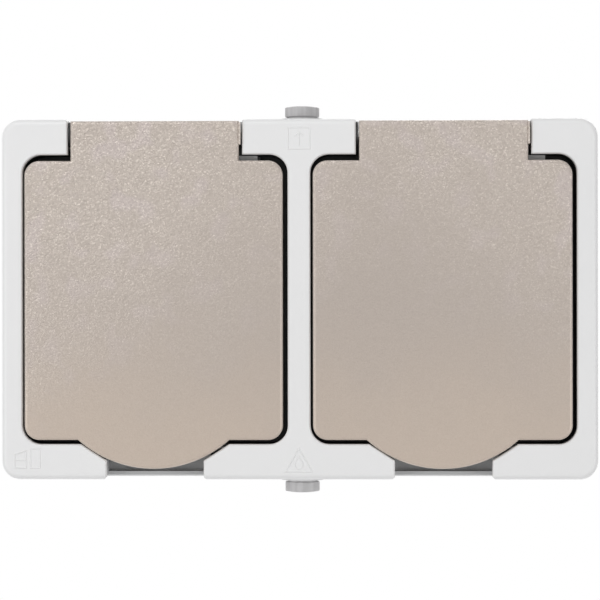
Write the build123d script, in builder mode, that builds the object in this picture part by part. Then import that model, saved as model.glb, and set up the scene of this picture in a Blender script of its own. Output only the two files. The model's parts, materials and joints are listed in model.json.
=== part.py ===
# Two gang weatherproof power socket for a wall: a rear box, a light front frame with two windows,
# a lined plate and an earthed round plug well behind each window, and a sprung lid over each well.
# Millimetres. The origin is the centre of the wall face, the front looks along -Y, +Z is up.
# Every height h is a distance in front of the wall, so a height h lies at Y = -h.

from build123d import *
from math import cos, radians, sin, sqrt
import os

os.makedirs("parts", exist_ok=True)

# Windows and borders, which set the outline of the whole outlet
window_w = 67.0
window_h = 73.0
window_r = 4.7
centre_bar = 5.7
side_border = 5.25
end_border = 8.9
frame_r = 4.6

# Depths
box_depth = 30.0
frame_depth = 24.0
lid_proud = 1.0

# Walls
frame_wall = 2.4
frame_face = 2.6
frame_edge_r = 1.4
frame_bevel = 0.3
box_wall = 2.6
box_floor = 2.6
box_inset = 0.8
box_edge = 0.8
box_inner_r = 1.2

# Seal between the box and the frame
seal_w = 1.2
seal_d = 1.5
seal_lip = 0.6
seal_r = 2.6

# Cable entries
entry_down = 3.9
collar_r = 5.6
collar_reach = 3.3
entry_gap = 0.1
nipple_r = 4.55
nipple_neck_r = 3.95
nipple_neck_reach = 0.7
nipple_head = 2.9
nipple_skin = 0.8
nipple_bore_r = 2.9
nipple_flange_r = 6.6
nipple_flange_t = 1.3
nipple_edge = 0.6

# Plate behind each window, with a wall that lines the window
plate_t = 2.5
plate_drop = 10.5
plate_gap = 0.1
plate_lap = 0.2
plate_r = 1.5
lining_t = 1.2

# Round plug well, dropped into the plate from the front
well_r = 19.5
well_wall = 1.8
well_depth = 17.5
well_rim = 5.0
well_rim_wall = 2.4
well_rim_edge = 0.5
well_flange = 3.9
well_flange_t = 1.2
well_gap = 0.15
floor_t = 2.5
pin_pitch = 19.0
pin_hole_r = 2.5
pin_reach = 19.0
rib_w = 5.4
rib_t = 2.2
rib_top = 2.5
rib_root = 1.0

# Hinge
slot_w = 44.1
tongue_gap = 0.85
tongue_top = 0.5
tongue_root = 5.0
barrel_gap = 0.6
hinge_set_back = 3.6
hinge_down = 3.7
hinge_pin_r = 1.25
pin_press = 0.02
pin_short = 0.1
pin_run = 0.07
barrel_r = 3.1
pin_grip = 4.4
ear_t = 6.5
ear_gap = 0.15
spring_wire_r = 0.3
spring_mid_r = 1.75
spring_turns = 3.25
spring_pitch = 1.1
spring_room = 0.6
spring_lid_leg = 2.6
spring_post_leg = 4.3
leg_turn = 15
post_in = 2.1
post_out = 3.7
post_z = 2.7
post_h = 6.5
rest_w = 1.9
rest_h = 5.5
post_gap = 0.2

# Lids
lid_t = 2.4
lid_gap_side = 0.95
lid_gap_top = 1.6
lid_gap_bottom = 1.1
lid_shift = -0.3
lid_r = 3.7
lid_edge_r = 0.8
lobe_r = 28.7
lobe_drop = 7.25
skirt_t = 1.6
skirt_d = 1.6
lid_rib_t = 0.9
lid_rib_d = 2.0
lid_seal_w = 3.2
lid_seal_gap = 0.3

# Notch under each lid, where a finger lifts it
notch_gap = 0.95
notch_half = 12.3
notch_slope = 4.1
notch_corner = 0.6
cheek_t = 1.5
cheek_gap = 0.15
ledge_t = 0.9
ledge_h = 6.4
apron_short = 0.8

# Contact block behind each insert
block_w = 46.0
block_z = 40.0
block_d = 19.0
block_r = 2.5
chamber_gap = 0.3
clip_t = 0.8
clip_w = 7.0
clip_mid = 3.1
clip_mouth = 0.9
clip_set_back = 1.0
clip_lead = 2.5
clip_bend_r = 1.0
clip_room = 0.4
strip_side = 1.6
strip_reach = 20.5
terminal_w = 6.6
terminal_z = 8.0
terminal_d = 8.0
wire_hole_r = 1.7
wire_hole_wall = 1.2
terminal_screw_r = 1.5
terminal_head_r = 2.6
terminal_head_t = 1.9
terminal_screw_len = 3.4

# Earth strap
strap_t = 0.8
strap_w = 6.0
strap_slot = 0.4
strap_end = 3.5
strap_cut = 3.4
strap_room = 1.0
strap_bend_r = 0.9
strap_foot = 2.0
strap_bump = 2.4
strap_set = 0.8
earth_drop = 13.0

# Fasteners
face_screw_r = 1.25
face_screw_head_r = 2.2
face_screw_head_t = 1.6
face_screw_bite = 6.0
face_boss_r = 2.4
face_boss_x = 31.0
cover_screw_r = 1.75
cover_head_r = 3.3
cover_head_t = 2.2
cover_bite = 14.0
cover_x = 26.5
cover_z = 28.5
tower_r = 3.6
block_screw_r = 1.4
block_head_r = 2.5
block_head_t = 1.6
block_boss_r = 2.5
block_screw_turn = 41.0
boss_gap = 0.6
block_bite = 7.0
screw_gap = 0.05
hole_gap = 0.25
hole_extra = 0.5

# Wall holes
wall_hole_r = 2.25
wall_slot = 8.0
wall_hole_x = 129.0
wall_hole_z = 28.0
pad_r = 5.0
pad_t = 1.0
rib_floor_t = 1.2
rib_floor_h = 3.0

# Sizes that follow
frame_w = 2 * window_w + centre_bar + 2 * side_border
frame_h = window_h + 2 * end_border
front_h = box_depth + frame_depth
entry_h = box_depth - seal_d - entry_down - collar_r
window_x = (window_w + centre_bar) / 2
window_top = window_h / 2
frame_top = frame_h / 2
lid_front = front_h + lid_proud
lid_back = lid_front - lid_t
plate_front = front_h - plate_drop
plate_back = plate_front - plate_t
rim_h = plate_front + well_rim
well_floor = rim_h - well_depth
floor_back = well_floor - floor_t
hinge_h = front_h - hinge_set_back
hinge_z = frame_top - hinge_down
slot_half = slot_w / 2
tongue_half = slot_half - tongue_gap
lid_w = window_w - 2 * lid_gap_side
lid_top = window_top - lid_gap_top
lid_bottom = -window_top + lid_gap_bottom
lobe_mid = lid_bottom - lobe_drop + lobe_r
box_w = frame_w - 2 * box_inset
box_h = frame_h - 2 * box_inset
block_front = floor_back
block_rear = block_front - block_d
pin_end = well_floor - pin_reach
clip_base = pin_end - clip_t / 2 - chamber_gap
clip_front = block_front - clip_set_back
terminal_x = strip_reach - terminal_w / 2
terminal_rear = clip_base - clip_t / 2
strap_front = block_front - strap_slot
apron_end = -frame_top + apron_short
pocket_half = notch_half + plate_gap + cheek_t
plate_w = window_w + 2 * lining_t + 2 * plate_lap
plate_z = frame_h - 2 * frame_wall - 2 * plate_gap
seal_outer_r = frame_r - box_inset - seal_lip
rim_mid_r = well_r + well_rim_wall / 2
ear_top = frame_top - frame_wall / 2
ear_foot = window_top + lining_t + ear_gap
spring_len = spring_turns * spring_pitch
leg_root = 2 * spring_wire_r
clip_tall = 2 * (clip_mid + clip_t / 2 + clip_mouth) + clip_room
wire_hole_h = terminal_rear + terminal_d - wire_hole_r - wire_hole_wall
leg_z = well_r + strap_set
lid_mid_z = (lid_top + lid_bottom) / 2
tongue_z = frame_top - tongue_top
frame_inner_x = frame_w / 2 - side_border
frame_inner_z = frame_top - 2 * frame_edge_r
sides = {"left": -window_x, "right": window_x}
lining_h = front_h - frame_face - cheek_gap
wall_behind = lining_t + frame_wall
face_screw_z = window_top + lining_t + ear_gap + face_boss_r
face_spots = [(-face_boss_x, -face_screw_z), (face_boss_x, face_screw_z)]
cover_spots = [(-cover_x, cover_z), (cover_x, -cover_z)]
block_screw_out = well_r + well_wall + boss_gap + block_boss_r
block_screw_x = block_screw_out * cos(radians(block_screw_turn))
block_screw_z = block_screw_out * sin(radians(block_screw_turn))
block_spots = [(block_screw_x, block_screw_z), (-block_screw_x, -block_screw_z)]
terminal_spots = [(terminal_x, 0), (-terminal_x, 0), (0, -earth_drop)]


def front(h, x=0.0):
    """Plane at height h in front of the wall, with its own x along +X and its own y along +Z."""
    return Plane(origin=(x, -h, 0), x_dir=(1, 0, 0), z_dir=(0, -1, 0))


def side_on(x):
    """Plane square to X, with its own x along -Y, so that it reads as height, and its own y along +Z."""
    return Plane(origin=(x, 0, 0), x_dir=(0, -1, 0), z_dir=(-1, 0, 0))


def upright(h, x=0.0):
    """Plane square to Z through height h, with its own x along +X and its own y along +Y."""
    return Plane(origin=(x, -h, 0), x_dir=(1, 0, 0), z_dir=(0, 0, 1))


def lobe_half(z):
    """Half the width of the finger lobe at height z."""
    return sqrt(lobe_r**2 - (lobe_mid - z) ** 2)


def keep(piece, name):
    piece.part.label = name
    export_step(piece.part, f"parts/{name}.step")


# Rear box, open to the front, with a collared cable entry at the top and at the bottom
with BuildPart() as rear_box:
    with BuildSketch(front(0)):
        RectangleRounded(box_w, box_h, frame_r - box_inset)
    extrude(amount=box_depth)
    chamfer(rear_box.faces().sort_by(Axis.Y)[-1].edges(), box_edge)
    with BuildSketch(front(box_floor)):
        RectangleRounded(box_w - 2 * box_wall, box_h - 2 * box_wall, box_inner_r)
    extrude(amount=box_depth, mode=Mode.SUBTRACT)
    # groove for the seal in the rim
    with BuildSketch(front(box_depth - seal_d)):
        RectangleRounded(box_w - 2 * seal_lip, box_h - 2 * seal_lip, seal_outer_r)
        RectangleRounded(
            box_w - 2 * (seal_lip + seal_w), box_h - 2 * (seal_lip + seal_w), seal_r, mode=Mode.SUBTRACT
        )
    extrude(amount=seal_d, mode=Mode.SUBTRACT)
    # towers that take the cover screws
    for cx in sides.values():
        with BuildSketch(front(box_floor, cx)):
            with Locations(cover_spots):
                Circle(tower_r)
        extrude(amount=plate_back - plate_gap - box_floor)
        with BuildSketch(front(plate_back - cover_bite - hole_extra, cx)):
            with Locations(cover_spots):
                Circle(cover_screw_r + screw_gap)
        extrude(amount=cover_bite + hole_extra, mode=Mode.SUBTRACT)
    # pads and slots for the wall screws
    with BuildSketch(front(box_floor)):
        with GridLocations(wall_hole_x, wall_hole_z, 2, 2):
            SlotOverall(2 * pad_r + wall_slot - 2 * wall_hole_r, 2 * pad_r)
    extrude(amount=pad_t)
    with BuildSketch(front(0)):
        with GridLocations(wall_hole_x, wall_hole_z, 2, 2):
            SlotOverall(wall_slot, 2 * wall_hole_r)
    extrude(amount=box_floor + pad_t, mode=Mode.SUBTRACT)
    # cable entry collars
    with BuildSketch(upright(entry_h)):
        Circle(collar_r)
    extrude(amount=box_h / 2 + collar_reach, both=True)
    with BuildSketch(front(box_floor)):
        Rectangle(2 * collar_r, box_h - 2 * box_wall)
    extrude(amount=box_depth - box_floor, mode=Mode.SUBTRACT)
    with BuildSketch(upright(entry_h)):
        Circle(nipple_neck_r + entry_gap)
    extrude(amount=box_h, both=True, mode=Mode.SUBTRACT)
    # two stiffening ribs on the floor, from tower to tower
    with BuildSketch(front(box_floor)):
        with Locations((0, cover_z), (0, -cover_z)):
            Rectangle(box_w - 2 * box_wall, rib_floor_t)
    extrude(amount=rib_floor_h)
keep(rear_box, "rear_box")

# Rubber ring in the groove between the box and the frame
with BuildPart() as box_seal:
    with BuildSketch(front(box_depth - seal_d)):
        RectangleRounded(box_w - 2 * seal_lip, box_h - 2 * seal_lip, seal_outer_r)
        RectangleRounded(
            box_w - 2 * (seal_lip + seal_w), box_h - 2 * (seal_lip + seal_w), seal_r, mode=Mode.SUBTRACT
        )
    extrude(amount=seal_d)
keep(box_seal, "box_seal")

# Closed rubber nipples in the cable entries: flange inside, neck in the collar, head outside
entry_outer = box_h / 2 + collar_reach
entry_inner = box_h / 2 - box_wall
for name, way in {"top_cable_grommet": 1, "bottom_cable_grommet": -1}.items():
    with BuildPart() as grommet:
        with BuildSketch(Plane(origin=(0, -entry_h, 0), x_dir=(1, 0, 0), z_dir=(0, -1, 0))):
            with BuildLine():
                head = entry_outer + nipple_neck_reach
                end = head + nipple_head
                Polyline(
                    (nipple_bore_r, way * (entry_inner - nipple_flange_t)),
                    (nipple_flange_r, way * (entry_inner - nipple_flange_t)),
                    (nipple_flange_r, way * entry_inner),
                    (nipple_neck_r, way * entry_inner),
                    (nipple_neck_r, way * head),
                    (nipple_r, way * head),
                    (nipple_r, way * (end - nipple_edge)),
                    (nipple_r - nipple_edge, way * end),
                    (0, way * end),
                    (0, way * (end - nipple_skin)),
                    (nipple_bore_r, way * (end - nipple_skin)),
                    close=True,
                )
            make_face()
        revolve(axis=Axis((0, -entry_h, 0), (0, 0, 1)))
    keep(grommet, name)

# Front frame with its two windows, hinge ears, finger notches and screw bosses
with BuildPart() as front_frame:
    with BuildSketch(front(box_depth)):
        RectangleRounded(frame_w, frame_h, frame_r)
    extrude(amount=frame_depth)
    fillet(front_frame.faces().sort_by(Axis.Y)[0].edges(), frame_edge_r)
    with BuildSketch(front(box_depth)):
        RectangleRounded(frame_w - 2 * frame_wall, frame_h - 2 * frame_wall, frame_r - frame_wall)
    extrude(amount=frame_depth - frame_face, mode=Mode.SUBTRACT)
    for cx in sides.values():
        # hinge ears and screw bosses behind the face
        with BuildSketch(front(plate_front, cx)):
            ear_z = (ear_foot + ear_top) / 2
            with Locations((-slot_half - ear_t / 2, ear_z), (slot_half + ear_t / 2, ear_z)):
                Rectangle(ear_t, ear_top - ear_foot)
            with Locations(face_spots):
                Circle(face_boss_r)
        extrude(amount=front_h - frame_face - plate_front)
        with BuildSketch(front(plate_front, cx)):
            RectangleRounded(window_w, window_h, window_r)
        extrude(amount=front_h, mode=Mode.SUBTRACT)
        # slot for the tongue of the lid, open at the top
        with BuildSketch(front(plate_front, cx)):
            with Locations((0, window_top + end_border / 2)):
                Rectangle(slot_w, end_border + 2 * wall_behind)
        extrude(amount=front_h, mode=Mode.SUBTRACT)
        # finger notch: flared in the face, square in the walls behind it
        with BuildSketch(front(front_h - frame_face, cx)):
            with BuildLine():
                mouth = lobe_half(-window_top) + notch_gap
                slope_end = -window_top - notch_slope
                Polyline(
                    (-mouth, -window_top + wall_behind),
                    (-mouth, -window_top),
                    (-notch_half, slope_end),
                    (-notch_half, -frame_top + notch_corner),
                    (-notch_half - notch_corner, -frame_top),
                    (notch_half + notch_corner, -frame_top),
                    (notch_half, -frame_top + notch_corner),
                    (notch_half, slope_end),
                    (mouth, -window_top),
                    (mouth, -window_top + wall_behind),
                    close=True,
                )
            make_face()
        extrude(amount=front_h, mode=Mode.SUBTRACT)
        with BuildSketch(front(plate_back - plate_gap, cx)):
            with Locations((0, -window_top - end_border / 2)):
                Rectangle(2 * (pocket_half + cheek_gap), end_border + 2 * wall_behind)
        extrude(amount=front_h - frame_face - plate_back + plate_gap, mode=Mode.SUBTRACT)
        # pin holes in the ears, and blind holes in the bosses
        with BuildSketch(side_on(cx - slot_half - pin_grip)):
            with Locations((hinge_h, hinge_z)):
                Circle(hinge_pin_r + pin_press)
        extrude(amount=-slot_w - 2 * pin_grip, mode=Mode.SUBTRACT)
        with BuildSketch(front(plate_front, cx)):
            with Locations(face_spots):
                Circle(face_screw_r + screw_gap)
        extrude(amount=face_screw_bite + hole_extra, mode=Mode.SUBTRACT)
    # small bevel round the windows, the tongue slots and the notches
    rims = front_frame.edges().filter_by_position(Axis.Y, -front_h, -front_h)
    rims = rims.filter_by_position(Axis.X, -frame_inner_x, frame_inner_x)
    chamfer(rims.filter_by_position(Axis.Z, -frame_inner_z, frame_inner_z), frame_bevel)
keep(front_frame, "front_frame")

for side, cx in sides.items():
    # Plate behind the window: a wall lines the window, a pocket lets a finger in at the bottom
    with BuildPart() as socket_face:
        with BuildSketch(front(plate_back, cx)):
            RectangleRounded(plate_w, plate_z, plate_r)
            with Locations((0, (apron_end - window_top) / 2)):
                Rectangle(2 * pocket_half, -window_top - apron_end)
        extrude(amount=plate_t)
        with BuildSketch(front(plate_front, cx)):
            RectangleRounded(window_w + 2 * lining_t, window_h + 2 * lining_t, window_r + lining_t)
            RectangleRounded(window_w, window_h, window_r, mode=Mode.SUBTRACT)
            with Locations((0, window_top)):
                Rectangle(slot_w, 2 * wall_behind, mode=Mode.SUBTRACT)
            with Locations((0, -window_top)):
                Rectangle(2 * pocket_half, 2 * wall_behind, mode=Mode.SUBTRACT)
            cheek_x = pocket_half - cheek_t / 2
            cheek_z = (apron_end - window_top) / 2
            with Locations((-cheek_x, cheek_z), (cheek_x, cheek_z)):
                Rectangle(cheek_t, -window_top - apron_end)
        extrude(amount=lining_h - plate_front)
        with BuildSketch(front(plate_front, cx)):
            with Locations((0, apron_end + ledge_t / 2)):
                Rectangle(2 * pocket_half, ledge_t)
        extrude(amount=ledge_h - plate_t)
        # post that takes the leg of the lid spring, and its rest
        with BuildSketch(front(plate_front, cx)):
            with Locations((slot_half + (post_out - post_in) / 2, window_top - post_gap - post_z / 2)):
                Rectangle(post_in + post_out, post_z)
        extrude(amount=post_h)
        with BuildSketch(front(plate_front, cx)):
            rest_top = hinge_z - spring_mid_r - spring_wire_r - pin_run
            rest_foot = window_top - post_gap - post_z
            with Locations((slot_half - post_in + rest_w / 2, (rest_top + rest_foot) / 2)):
                Rectangle(rest_w, rest_top - rest_foot)
        extrude(amount=rest_h)
        # bosses for the block screws, seat of the well and holes for the screws
        with BuildSketch(front(floor_back, cx)):
            with Locations(block_spots):
                Circle(block_boss_r)
        extrude(amount=plate_back - floor_back)
        with BuildSketch(front(plate_back, cx)):
            Circle(well_r + well_wall + well_gap)
            with Locations(cover_spots):
                Circle(cover_screw_r + hole_gap)
            with Locations(face_spots):
                Circle(face_screw_r + hole_gap)
        extrude(amount=plate_t, mode=Mode.SUBTRACT)
        with BuildSketch(front(floor_back, cx)):
            with Locations(block_spots):
                Circle(block_screw_r + screw_gap)
        extrude(amount=block_bite + hole_extra, mode=Mode.SUBTRACT)
    keep(socket_face, f"{side}_socket_face")

    # Plug well: a turned cup with a flange on the plate, held between the plate and the block
    with BuildPart() as well:
        with BuildSketch(Plane(origin=(cx, 0, 0), x_dir=(1, 0, 0), z_dir=(0, 0, 1))):
            with BuildLine():
                Polyline(
                    (0, -floor_back),
                    (well_r + well_wall, -floor_back),
                    (well_r + well_wall, -plate_front),
                    (well_r + well_flange, -plate_front),
                    (well_r + well_flange, -plate_front - well_flange_t),
                    (well_r + well_rim_wall, -plate_front - well_flange_t),
                    (well_r + well_rim_wall, -rim_h + well_rim_edge),
                    (well_r + well_rim_wall - well_rim_edge, -rim_h),
                    (well_r, -rim_h),
                    (well_r, -well_floor),
                    (0, -well_floor),
                    close=True,
                )
            make_face()
        revolve(axis=Axis((cx, 0, 0), (0, 1, 0)))
        # guide ribs at three and nine o'clock
        with BuildSketch(front(well_floor, cx)):
            rib_x = well_r - (rib_t - rib_root) / 2
            with Locations((rib_x, 0), (-rib_x, 0)):
                Rectangle(rib_t + rib_root, rib_w)
        extrude(amount=well_depth - rib_top)
        # pin holes and the slots for the earth springs
        with BuildSketch(front(floor_back, cx)):
            with Locations((-pin_pitch / 2, 0), (pin_pitch / 2, 0)):
                Circle(pin_hole_r)
        extrude(amount=floor_t, mode=Mode.SUBTRACT)
        with BuildSketch(front(floor_back, cx)):
            with Locations((0, leg_z), (0, -leg_z)):
                Rectangle(strap_w + 2 * strap_slot, strap_cut)
        extrude(amount=rim_h - strap_end + strap_room - floor_back, mode=Mode.SUBTRACT)
    keep(well, f"{side}_well_insert")

    # Two screws from behind hold the insert to the frame
    with BuildPart() as face_screws:
        with BuildSketch(front(plate_back - face_screw_head_t, cx)):
            with Locations(face_spots):
                Circle(face_screw_head_r)
        extrude(amount=face_screw_head_t)
        with BuildSketch(front(plate_back, cx)):
            with Locations(face_spots):
                Circle(face_screw_r)
        extrude(amount=plate_t + face_screw_bite)
    keep(face_screws, f"{side}_face_screws")

    # Two screws from the front hold the insert and the frame to the towers of the rear box
    with BuildPart() as cover_screws:
        with BuildSketch(front(plate_front, cx)):
            with Locations(cover_spots):
                Circle(cover_head_r)
        extrude(amount=cover_head_t)
        with BuildSketch(front(plate_back - cover_bite, cx)):
            with Locations(cover_spots):
                Circle(cover_screw_r)
        extrude(amount=cover_bite + plate_t)
    keep(cover_screws, f"{side}_cover_screws")

    # Contact block: an insulating block with a chamber for each contact and its terminal
    with BuildPart() as contact_block:
        with BuildSketch(front(block_rear, cx)):
            RectangleRounded(block_w, block_z, block_r)
        extrude(amount=block_d)
        clip_half = clip_w / 2 + chamber_gap
        for way in (-1, 1):
            with BuildSketch(front(block_rear, cx)):
                with Locations((way * pin_pitch / 2, 0)):
                    Rectangle(2 * clip_half, clip_tall)
            extrude(amount=clip_front + chamber_gap - block_rear, mode=Mode.SUBTRACT)
            with BuildSketch(front(block_rear, cx)):
                inner = pin_pitch / 2
                with Locations((way * (inner + block_w / 2 + 1) / 2, 0)):
                    Rectangle(block_w / 2 + 1 - inner, terminal_z + 2 * chamber_gap)
            extrude(amount=clip_base + clip_t / 2 + chamber_gap - block_rear, mode=Mode.SUBTRACT)
            with BuildSketch(front(block_rear, cx)):
                inner = strip_reach - terminal_w - chamber_gap
                with Locations((way * (inner + block_w / 2 + 1) / 2, 0)):
                    Rectangle(block_w / 2 + 1 - inner, terminal_z + 2 * chamber_gap)
            extrude(amount=terminal_rear + terminal_d + chamber_gap - block_rear, mode=Mode.SUBTRACT)
        with BuildSketch(front(block_rear, cx)):
            with Locations((-pin_pitch / 2, 0), (pin_pitch / 2, 0)):
                Circle(pin_hole_r + hole_gap)
            with Locations(block_spots):
                Circle(block_screw_r + hole_gap)
        extrude(amount=block_d, mode=Mode.SUBTRACT)
        # channel for the earth strap in the front, and its terminal chamber from the back
        with BuildSketch(front(strap_front - strap_t - hole_gap, cx)):
            Rectangle(strap_w + 2 * strap_slot, block_z)
        extrude(amount=block_front - strap_front + strap_t + hole_gap, mode=Mode.SUBTRACT)
        with BuildSketch(front(block_rear, cx)):
            with Locations((0, -earth_drop)):
                Rectangle(terminal_w + 2 * chamber_gap, terminal_z + 2 * chamber_gap)
        extrude(amount=block_d, mode=Mode.SUBTRACT)
    keep(contact_block, f"{side}_contact_block")

    # Long screws through the block into the bosses of the insert
    with BuildPart() as block_screws:
        with BuildSketch(front(block_rear - block_head_t, cx)):
            with Locations(block_spots):
                Circle(block_head_r)
        extrude(amount=block_head_t)
        with BuildSketch(front(block_rear, cx)):
            with Locations(block_spots):
                Circle(block_screw_r)
        extrude(amount=block_d + block_bite)
    keep(block_screws, f"{side}_block_screws")

    # Bent brass contacts: a clip that takes the pin, a strip and a terminal with its wire hole
    for name, way in {"line_contact": 1, "neutral_contact": -1}.items():
        with BuildPart() as contact:
            with BuildSketch(side_on(cx + way * pin_pitch / 2)):
                with BuildLine():
                    clip = FilletPolyline(
                        (clip_front, clip_mid + clip_mouth),
                        (clip_front - clip_lead, clip_mid),
                        (clip_base, clip_mid),
                        (clip_base, -clip_mid),
                        (clip_front - clip_lead, -clip_mid),
                        (clip_front, -clip_mid - clip_mouth),
                        radius=clip_bend_r,
                    )
                trace(line_width=clip_t)
            extrude(amount=clip_w / 2, both=True)
            with BuildSketch(front(clip_base - clip_t / 2, cx)):
                with Locations((way * (pin_pitch / 2 + strip_reach) / 2, 0)):
                    Rectangle(strip_reach - pin_pitch / 2, 2 * clip_mid - strip_side)
            extrude(amount=clip_t)
            with BuildSketch(front(terminal_rear, cx)):
                with Locations((way * terminal_x, 0)):
                    Rectangle(terminal_w, terminal_z)
            extrude(amount=terminal_d)
            with BuildSketch(upright(wire_hole_h, cx + way * terminal_x)):
                Circle(wire_hole_r)
            extrude(amount=terminal_z, both=True, mode=Mode.SUBTRACT)
            with BuildSketch(front(terminal_rear, cx)):
                with Locations((way * terminal_x, 0)):
                    Circle(terminal_screw_r + screw_gap)
            extrude(amount=terminal_d / 2, mode=Mode.SUBTRACT)
        keep(contact, f"{side}_{name}")

    # Earth strap: one bent strip behind the well, with a sprung end in each slot and its terminal
    with BuildPart() as earth_strap:
        leg_end = rim_h - strap_end
        bump_h = (well_floor + rim_h) / 2
        base_h = strap_front - strap_t / 2
        with BuildSketch(side_on(cx)):
            with BuildLine():
                FilletPolyline(
                    (leg_end, leg_z),
                    (bump_h, leg_z - strap_bump),
                    (well_floor + strap_foot, leg_z),
                    (base_h, leg_z),
                    (base_h, -leg_z),
                    (well_floor + strap_foot, -leg_z),
                    (bump_h, -leg_z + strap_bump),
                    (leg_end, -leg_z),
                    radius=strap_bend_r,
                )
            trace(line_width=strap_t)
        extrude(amount=strap_w / 2, both=True)
        with BuildSketch(front(terminal_rear, cx)):
            with Locations((0, -earth_drop)):
                Rectangle(terminal_w, terminal_z)
        extrude(amount=terminal_d)
        with BuildSketch(front(terminal_rear, cx)):
            with Locations((0, -earth_drop + terminal_z / 2 - strap_t / 2)):
                Rectangle(strap_w, strap_t)
        extrude(amount=base_h - terminal_rear)
        with BuildSketch(side_on(cx)):
            with Locations((wire_hole_h, -earth_drop)):
                Circle(wire_hole_r)
        extrude(amount=terminal_w, both=True, mode=Mode.SUBTRACT)
        with BuildSketch(front(terminal_rear, cx)):
            with Locations((0, -earth_drop)):
                Circle(terminal_screw_r + screw_gap)
        extrude(amount=terminal_d / 2, mode=Mode.SUBTRACT)
    keep(earth_strap, f"{side}_earth_strap")

    # Terminal screws, driven from behind
    with BuildPart() as terminal_screws:
        with BuildSketch(front(terminal_rear - terminal_head_t, cx)):
            with Locations(terminal_spots):
                Circle(terminal_head_r)
        extrude(amount=terminal_head_t)
        with BuildSketch(front(terminal_rear, cx)):
            with Locations(terminal_spots):
                Circle(terminal_screw_r)
        extrude(amount=terminal_screw_len)
    keep(terminal_screws, f"{side}_terminal_screws")

    # Steel hinge pin, pressed into the ears of the frame
    with BuildPart() as hinge_pin:
        with BuildSketch(side_on(cx - slot_half - pin_grip + pin_short)):
            with Locations((hinge_h, hinge_z)):
                Circle(hinge_pin_r)
        extrude(amount=-slot_w - 2 * (pin_grip - pin_short))
    keep(hinge_pin, f"{side}_hinge_pin")

    # Torsion spring round the pin at the right end of the hinge: one leg stands behind the top of
    # the tongue, and the other lies on the rest of the insert
    coil_start = cx + tongue_half - spring_room - spring_len
    coil_mid = (coil_start, -hinge_h, hinge_z)
    with BuildPart() as hinge_spring:
        coil = Helix(spring_pitch, spring_len, spring_mid_r, coil_mid, (1, 0, 0), mode=Mode.PRIVATE)
        coil = coil.rotate(Axis(coil_mid, (1, 0, 0)), 90)
        with BuildSketch(Plane(origin=coil @ 0, z_dir=coil % 0)):
            RegularPolygon(spring_wire_r, 6)
        sweep(path=coil, is_frenet=True)
        # each leg starts inside the coil, turned a little against it so that the faces cross
        lid_leg_foot = coil @ 0 - Vector(0, 0, leg_root)
        with BuildSketch(Plane(origin=lid_leg_foot, z_dir=(0, 0, 1))):
            RegularPolygon(spring_wire_r, 6, rotation=leg_turn)
        extrude(amount=leg_root + spring_lid_leg)
        post_leg_foot = coil @ 1 - Vector(0, leg_root, 0)
        with BuildSketch(Plane(origin=post_leg_foot, z_dir=(0, 1, 0))):
            RegularPolygon(spring_wire_r, 6, rotation=leg_turn)
        extrude(amount=leg_root + spring_post_leg)
    keep(hinge_spring, f"{side}_hinge_spring")

    # Lid: a flat plate with a hinge tongue at the top and a finger lobe at the bottom
    with BuildPart() as lid:
        lid_x = cx + lid_shift
        with BuildSketch(front(lid_back, lid_x)):
            with Locations((0, lid_mid_z)):
                RectangleRounded(lid_w, lid_top - lid_bottom, lid_r)
            with BuildLine():
                half = lobe_half(lid_bottom)
                ThreePointArc((-half, lid_bottom), (0, lid_bottom - lobe_drop), (half, lid_bottom))
                Polyline((half, lid_bottom), (half, lid_mid_z), (-half, lid_mid_z), (-half, lid_bottom))
            make_face()
            with Locations((-lid_shift, (tongue_z + lid_top - tongue_root) / 2)):
                Rectangle(2 * tongue_half, tongue_z - lid_top + tongue_root)
        extrude(amount=lid_t)
        fillet(lid.faces().sort_by(Axis.Y)[0].edges(), lid_edge_r)
        # skirt round the back of the plate
        with BuildSketch(front(lid_back - skirt_d, lid_x)):
            with Locations((0, lid_mid_z)):
                RectangleRounded(lid_w, lid_top - lid_bottom, lid_r)
                RectangleRounded(
                    lid_w - 2 * skirt_t,
                    lid_top - lid_bottom - 2 * skirt_t,
                    lid_r - skirt_t,
                    mode=Mode.SUBTRACT,
                )
        extrude(amount=skirt_d)
        # ring that holds the seal
        with BuildSketch(front(lid_back - lid_rib_d, cx)):
            Circle(rim_mid_r + lid_seal_w / 2 + lid_rib_t)
            Circle(rim_mid_r + lid_seal_w / 2, mode=Mode.SUBTRACT)
        extrude(amount=lid_rib_d)
        # hinge barrel, cut short on the right for the spring
        with BuildSketch(side_on(cx - tongue_half)):
            with Locations((hinge_h, hinge_z)):
                Circle(barrel_r)
        extrude(amount=-(coil_start - barrel_gap - cx + tongue_half))
        with BuildSketch(side_on(cx - slot_half)):
            with Locations((hinge_h, hinge_z)):
                Circle(hinge_pin_r + pin_run)
        extrude(amount=-slot_w, mode=Mode.SUBTRACT)
    keep(lid, f"{side}_lid")

    # Soft ring in the lid, which closes on the rim of the well
    with BuildPart() as lid_seal:
        with BuildSketch(front(rim_h + lid_seal_gap, cx)):
            Circle(rim_mid_r + lid_seal_w / 2)
            Circle(rim_mid_r - lid_seal_w / 2, mode=Mode.SUBTRACT)
        extrude(amount=lid_back - rim_h - lid_seal_gap)
    keep(lid_seal, f"{side}_lid_seal")
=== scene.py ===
"""Looks of a two gang weatherproof socket outlet, built round its packed model.

The outlet faces -Y and stands upright. Every size in this file is in metres.
"""

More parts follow.
